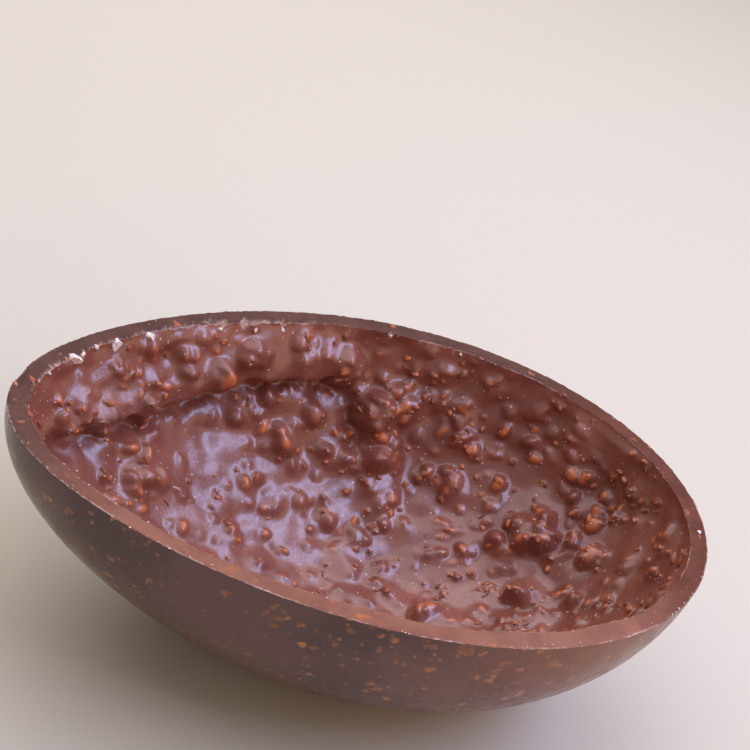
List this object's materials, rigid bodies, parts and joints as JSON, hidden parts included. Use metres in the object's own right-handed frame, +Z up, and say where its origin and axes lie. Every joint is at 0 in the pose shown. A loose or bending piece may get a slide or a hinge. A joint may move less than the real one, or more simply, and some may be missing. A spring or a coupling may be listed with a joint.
{
  "type": "half chocolate egg",
  "caption": "Half shell of a hollow milk chocolate egg, cut side up, with a flat rim and a rough nutty lining.",
  "frame": {"origin": "middle of the box's bottom face, on the surface that the shell rests on", "axes": "+X along the egg towards its blunt end, +Y towards the wall with the fold, +Z up out of the open side"},
  "size_m": [0.2, 0.1318, 0.0649],
  "materials": {
    "chocolate": "satin",
    "nut": "matte"
  },
  "bodies": {
    "root": {"half_shell": "chocolate"}
  },
  "joints": []
}
